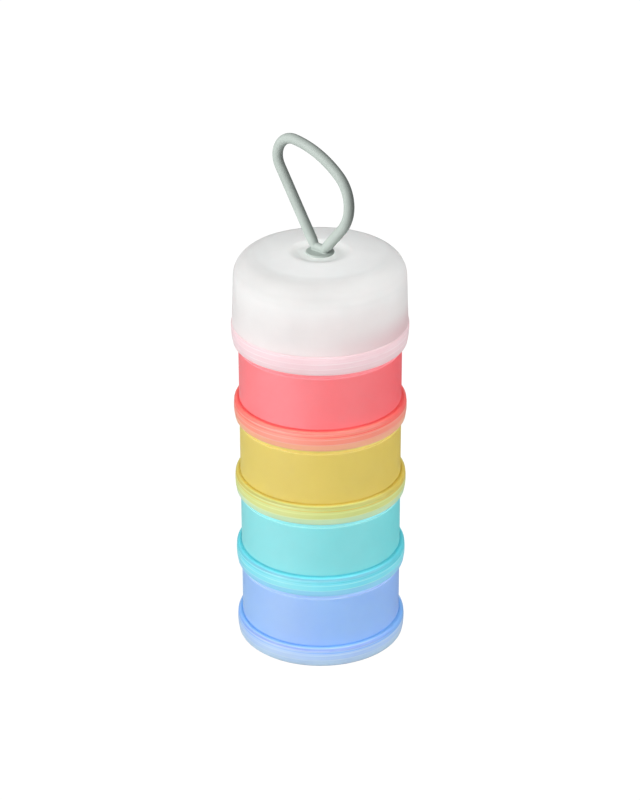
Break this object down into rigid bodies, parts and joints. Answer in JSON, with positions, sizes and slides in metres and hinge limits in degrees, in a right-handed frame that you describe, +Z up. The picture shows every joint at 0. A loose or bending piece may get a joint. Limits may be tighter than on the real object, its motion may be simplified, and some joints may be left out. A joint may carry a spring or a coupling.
{
  "type": "formula dispenser",
  "caption": "Stack of round screw-together cups for measured milk powder, with a frosted domed lid and a soft carry loop that turns in its top.",
  "frame": {"origin": "centre of the bottom cup's foot, on the surface the stack stands on", "axes": "+Z up along the axis that all the cups and the lid share; -Y is the front; the loop stands nearly upright, with its right side turned forward by 42 degrees"},
  "size_m": [0.0824, 0.0824, 0.2489],
  "materials": {
    "blue_plastic": "translucent, satin moulded polypropylene",
    "turquoise_plastic": "translucent, satin moulded polypropylene",
    "yellow_plastic": "translucent, satin moulded polypropylene",
    "red_plastic": "translucent, satin moulded polypropylene",
    "frosted_plastic": "frosted, colourless moulded polypropylene",
    "loop_silicone": "matt moulded silicone",
    "seal_silicone": "matt milky silicone"
  },
  "bodies": {
    "bottom_cup": {"bottom_cup": "blue_plastic"},
    "second_cup_seal": {"second_cup_seal": "seal_silicone"},
    "second_cup": {"second_cup": "turquoise_plastic"},
    "third_cup_seal": {"third_cup_seal": "seal_silicone"},
    "third_cup": {"third_cup": "yellow_plastic"},
    "top_cup_seal": {"top_cup_seal": "seal_silicone"},
    "top_cup": {"top_cup": "red_plastic"},
    "lid_seal": {"lid_seal": "seal_silicone"},
    "lid": {"lid": "frosted_plastic"},
    "carry_loop": {"carry_loop": "loop_silicone"}
  },
  "joints": [
    {"name": "second_cup_lift", "type": "slide", "parent": "bottom_cup", "child": "second_cup_seal", "axis": [0, 0, 1], "range_m": [0, 0.0078]},
    {"name": "second_cup_turn", "type": "hinge", "parent": "second_cup_seal", "child": "second_cup", "pos_m": [0, 0, 0.0384], "axis": [0, 0, 1], "range_deg": [0, 1080]},
    {"name": "third_cup_lift", "type": "slide", "parent": "second_cup", "child": "third_cup_seal", "axis": [0, 0, 1], "range_m": [0, 0.0078]},
    {"name": "third_cup_turn", "type": "hinge", "parent": "third_cup_seal", "child": "third_cup", "pos_m": [0, 0, 0.0768], "axis": [0, 0, 1], "range_deg": [0, 1080]},
    {"name": "top_cup_lift", "type": "slide", "parent": "third_cup", "child": "top_cup_seal", "axis": [0, 0, 1], "range_m": [0, 0.0078]},
    {"name": "top_cup_turn", "type": "hinge", "parent": "top_cup_seal", "child": "top_cup", "pos_m": [0, 0, 0.1152], "axis": [0, 0, 1], "range_deg": [0, 1080]},
    {"name": "lid_lift", "type": "slide", "parent": "top_cup", "child": "lid_seal", "axis": [0, 0, 1], "range_m": [0, 0.0078]},
    {"name": "lid_turn", "type": "hinge", "parent": "lid_seal", "child": "lid", "pos_m": [0, 0, 0.1536], "axis": [0, 0, 1], "range_deg": [0, 1080]},
    {"name": "loop_swivel", "type": "hinge", "parent": "lid", "child": "carry_loop", "pos_m": [0, 0, 0.1964], "axis": [0, 0, 1], "continuous": true}
  ],
  "couplings": [
    {"joint": "second_cup_lift", "follows": "second_cup_turn", "m_per_rad": 0.0004138},
    {"joint": "third_cup_lift", "follows": "third_cup_turn", "m_per_rad": 0.0004138},
    {"joint": "top_cup_lift", "follows": "top_cup_turn", "m_per_rad": 0.0004138},
    {"joint": "lid_lift", "follows": "lid_turn", "m_per_rad": 0.0004138}
  ]
}
